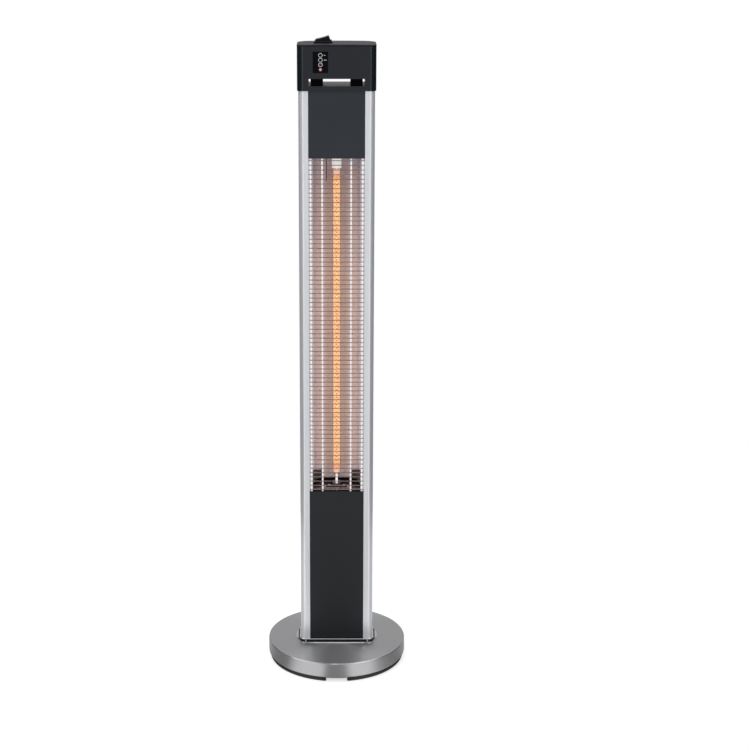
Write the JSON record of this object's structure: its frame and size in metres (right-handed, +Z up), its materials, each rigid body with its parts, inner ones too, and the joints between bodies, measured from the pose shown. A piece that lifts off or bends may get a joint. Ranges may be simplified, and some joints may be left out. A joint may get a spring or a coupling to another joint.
{
  "type": "infrared patio heater tower",
  "caption": "Free-standing infrared heater tower: slotted head with rocker and buttons, wire guard over a lamp and reflector, aluminium rails, round base.",
  "frame": {"origin": "on the floor, under the middle of the round base", "axes": "+Z up along the column; -Y the front with the guard and controls; +X right as seen from the front"},
  "size_m": [0.234, 0.234, 1.0612],
  "materials": {
    "base_steel": "brushed",
    "cast_iron": "matte",
    "black_rubber": "matte",
    "steel": "satin",
    "zinc_steel": "satin",
    "collar_chrome": "polished",
    "rail_aluminium": "satin",
    "panel_black": "satin",
    "guard_wire": "polished",
    "reflector_polish": "polished",
    "quartz": "gloss",
    "glowing_carbon": "matte",
    "ceramic_white": "satin",
    "brass": "satin",
    "head_plastic": "satin",
    "black_plastic": "satin",
    "white_plastic": "satin",
    "switch_black": "gloss",
    "fascia_gloss": "gloss",
    "print_white": "matte",
    "button_grey": "satin",
    "receiver_dark": "gloss",
    "lens_red": "gloss",
    "board_green": "satin",
    "relay_black": "satin",
    "wire_silicone": "satin"
  },
  "bodies": {
    "tower": {"base_cover": "base_steel", "base_feet": "black_rubber", "base_plate": "zinc_steel", "base_screws": "steel", "base_weight": "cast_iron", "board_parts": "black_plastic", "board_screws": "steel", "cable_gland": "black_plastic", "circuit_board": "board_green", "column_bolts": "steel", "column_nuts": "steel", "control_fascia": "fascia_gloss", "cover_screws": "steel", "fascia_marks": "print_white", "foot_bracket": "zinc_steel", "foot_collar": "collar_chrome", "gland_nut": "black_plastic", "guard_uprights": "guard_wire", "guard_wires": "guard_wire", "head_body": "head_plastic", "head_lid": "head_plastic", "head_screws": "steel", "heat_shield": "zinc_steel", "inner_wires": "wire_silicone", "lamp_cap": "ceramic_white", "lamp_filament": "glowing_carbon", "lamp_lens": "lens_red", "lamp_pin": "steel", "lamp_socket": "ceramic_white", "lamp_tube": "quartz", "lid_screws": "steel", "lower_panel": "panel_black", "rail_left": "rail_aluminium", "rail_right": "rail_aluminium", "rail_screws": "steel", "rear_cover": "panel_black", "receiver_lens": "receiver_dark", "reflector": "reflector_polish", "reflector_end_lower": "reflector_polish", "reflector_end_upper": "reflector_polish", "relays": "relay_black", "rocker_pin": "steel", "shield_screws": "steel", "slot_posts": "black_plastic", "socket_bracket": "zinc_steel", "socket_screws": "steel", "switch_body": "switch_black", "switch_terminals": "brass", "terminal_block": "ceramic_white", "tip_switch_housing": "white_plastic", "top_plate": "zinc_steel", "upper_panel": "panel_black"},
    "rocker": {"power_rocker": "switch_black"},
    "power_key": {"power_button": "button_grey"},
    "level_key": {"level_button": "button_grey"},
    "tip_foot": {"tip_plunger": "white_plastic", "tip_spring": "steel"}
  },
  "joints": [
    {"name": "rocker_tilt", "type": "hinge", "parent": "tower", "child": "rocker", "pos_m": [-0.0213, 0.003, 1.0517], "axis": [0, 1, 0], "range_deg": [0, 30]},
    {"name": "power_key_press", "type": "slide", "parent": "tower", "child": "power_key", "axis": [0, 1, 0], "range_m": [0, 0.0006], "stiffness_N_per_m": 400, "springref_m": -0.0005},
    {"name": "level_key_press", "type": "slide", "parent": "tower", "child": "level_key", "axis": [0, 1, 0], "range_m": [0, 0.0006], "stiffness_N_per_m": 400, "springref_m": -0.0005},
    {"name": "tip_foot_drop", "type": "slide", "parent": "tower", "child": "tip_foot", "axis": [0, 0, 1], "range_m": [-0.004, 0], "stiffness_N_per_m": 80, "springref_m": -0.006, "deforming": ["tip_spring"]}
  ]
}
